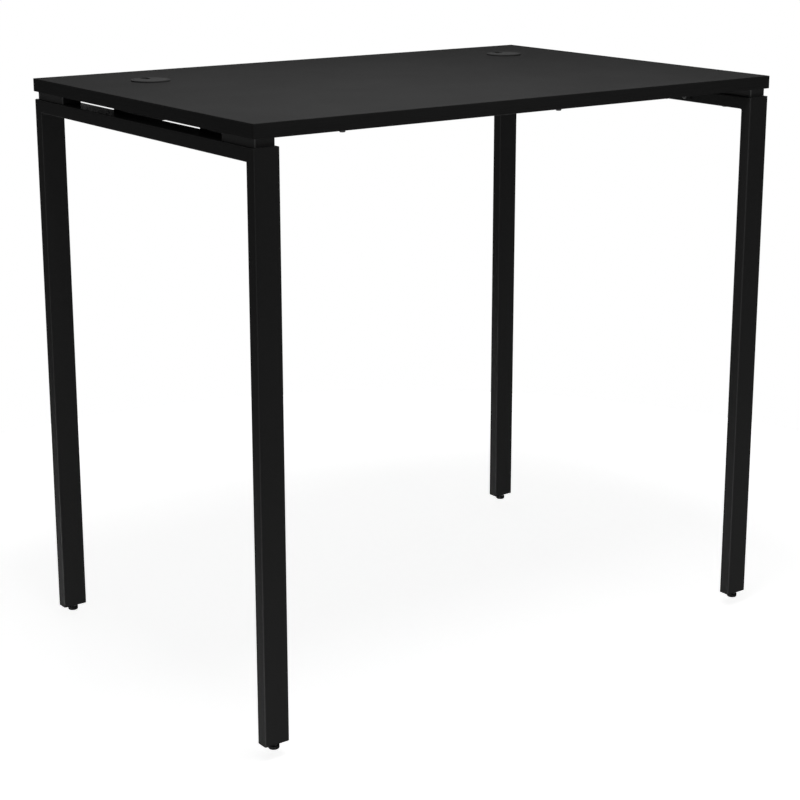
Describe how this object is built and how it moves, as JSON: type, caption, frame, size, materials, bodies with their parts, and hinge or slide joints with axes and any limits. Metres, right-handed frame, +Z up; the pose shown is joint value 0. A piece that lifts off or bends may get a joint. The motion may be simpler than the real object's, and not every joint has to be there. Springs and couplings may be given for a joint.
{
  "type": "standing desk",
  "caption": "Fixed standing-height desk: laminate top floating on spacers over welded tube end frames, with lengthwise rails, cable grommets and levelling feet.",
  "frame": {"origin": "on the floor, under the middle of the worktop", "axes": "+X along the desk to the right as seen from the front, +Y to the rear edge with the grommets, +Z up"},
  "size_m": [1.2, 0.8, 1.1028],
  "materials": {
    "laminate": "matt melamine, fine pearl texture",
    "edge_band": "matt edge band",
    "powder_coat": "satin powder coat, fine texture",
    "black_bolt": "black oxide",
    "zinc_steel": "zinc plate",
    "black_steel": "black zinc",
    "grommet_plastic": "fine spark texture",
    "spacer_plastic": "satin moulded",
    "foot_plastic": "satin moulded"
  },
  "bodies": {
    "desk": {"desktop_panel": "laminate", "front_edge_band": "edge_band", "rear_edge_band": "edge_band", "left_edge_band": "edge_band", "right_edge_band": "edge_band", "left_cross_tube": "powder_coat", "left_frame_welds": "powder_coat", "left_flange_bolts": "black_bolt", "left_rivet_nuts": "zinc_steel", "left_grommet_liner": "grommet_plastic", "right_cross_tube": "powder_coat", "right_frame_welds": "powder_coat", "right_flange_bolts": "black_bolt", "right_rivet_nuts": "zinc_steel", "right_grommet_liner": "grommet_plastic", "left_front_leg": "powder_coat", "left_front_rail_flange": "powder_coat", "left_front_corner_spacer": "spacer_plastic", "left_front_leg_plug": "foot_plastic", "left_rear_leg": "powder_coat", "left_rear_rail_flange": "powder_coat", "left_rear_corner_spacer": "spacer_plastic", "left_rear_leg_plug": "foot_plastic", "right_front_leg": "powder_coat", "right_front_rail_flange": "powder_coat", "right_front_corner_spacer": "spacer_plastic", "right_front_leg_plug": "foot_plastic", "right_rear_leg": "powder_coat", "right_rear_rail_flange": "powder_coat", "right_rear_corner_spacer": "spacer_plastic", "right_rear_leg_plug": "foot_plastic", "front_rail": "powder_coat", "rear_rail": "powder_coat", "spacer_screws": "black_bolt", "rail_screws": "black_bolt", "spacer_screw_inserts": "zinc_steel", "rail_screw_inserts": "zinc_steel", "foot_bushes": "zinc_steel"},
    "left_front_pad": {"left_front_foot_pad": "foot_plastic"},
    "left_front_stem": {"left_front_foot_stem": "black_steel"},
    "left_rear_pad": {"left_rear_foot_pad": "foot_plastic"},
    "left_rear_stem": {"left_rear_foot_stem": "black_steel"},
    "right_front_pad": {"right_front_foot_pad": "foot_plastic"},
    "right_front_stem": {"right_front_foot_stem": "black_steel"},
    "right_rear_pad": {"right_rear_foot_pad": "foot_plastic"},
    "right_rear_stem": {"right_rear_foot_stem": "black_steel"},
    "left_cap": {"left_grommet_cap": "grommet_plastic"},
    "right_cap": {"right_grommet_cap": "grommet_plastic"}
  },
  "joints": [
    {"name": "left_front_foot_travel", "type": "slide", "parent": "desk", "child": "left_front_pad", "axis": [0, 0, -1], "range_m": [0, 0.015]},
    {"name": "left_front_foot_turn", "type": "hinge", "parent": "left_front_pad", "child": "left_front_stem", "pos_m": [-0.574, -0.3865, 0], "axis": [0, 0, -1], "range_deg": [0, 4320]},
    {"name": "left_rear_foot_travel", "type": "slide", "parent": "desk", "child": "left_rear_pad", "axis": [0, 0, -1], "range_m": [0, 0.015]},
    {"name": "left_rear_foot_turn", "type": "hinge", "parent": "left_rear_pad", "child": "left_rear_stem", "pos_m": [-0.574, 0.3865, 0], "axis": [0, 0, -1], "range_deg": [0, 4320]},
    {"name": "right_front_foot_travel", "type": "slide", "parent": "desk", "child": "right_front_pad", "axis": [0, 0, -1], "range_m": [0, 0.015]},
    {"name": "right_front_foot_turn", "type": "hinge", "parent": "right_front_pad", "child": "right_front_stem", "pos_m": [0.574, -0.3865, 0], "axis": [0, 0, -1], "range_deg": [0, 4320]},
    {"name": "right_rear_foot_travel", "type": "slide", "parent": "desk", "child": "right_rear_pad", "axis": [0, 0, -1], "range_m": [0, 0.015]},
    {"name": "right_rear_foot_turn", "type": "hinge", "parent": "right_rear_pad", "child": "right_rear_stem", "pos_m": [0.574, 0.3865, 0], "axis": [0, 0, -1], "range_deg": [0, 4320]},
    {"name": "left_cap_turn", "type": "hinge", "parent": "desk", "child": "left_cap", "pos_m": [-0.437, 0.23, 1.1], "axis": [0, 0, 1], "continuous": true},
    {"name": "right_cap_turn", "type": "hinge", "parent": "desk", "child": "right_cap", "pos_m": [0.437, 0.23, 1.1], "axis": [0, 0, 1], "continuous": true}
  ],
  "couplings": [
    {"joint": "left_front_foot_turn", "follows": "left_front_foot_travel", "rad_per_m": 5026.5},
    {"joint": "left_rear_foot_turn", "follows": "left_rear_foot_travel", "rad_per_m": 5026.5},
    {"joint": "right_front_foot_turn", "follows": "right_front_foot_travel", "rad_per_m": 5026.5},
    {"joint": "right_rear_foot_turn", "follows": "right_rear_foot_travel", "rad_per_m": 5026.5}
  ]
}
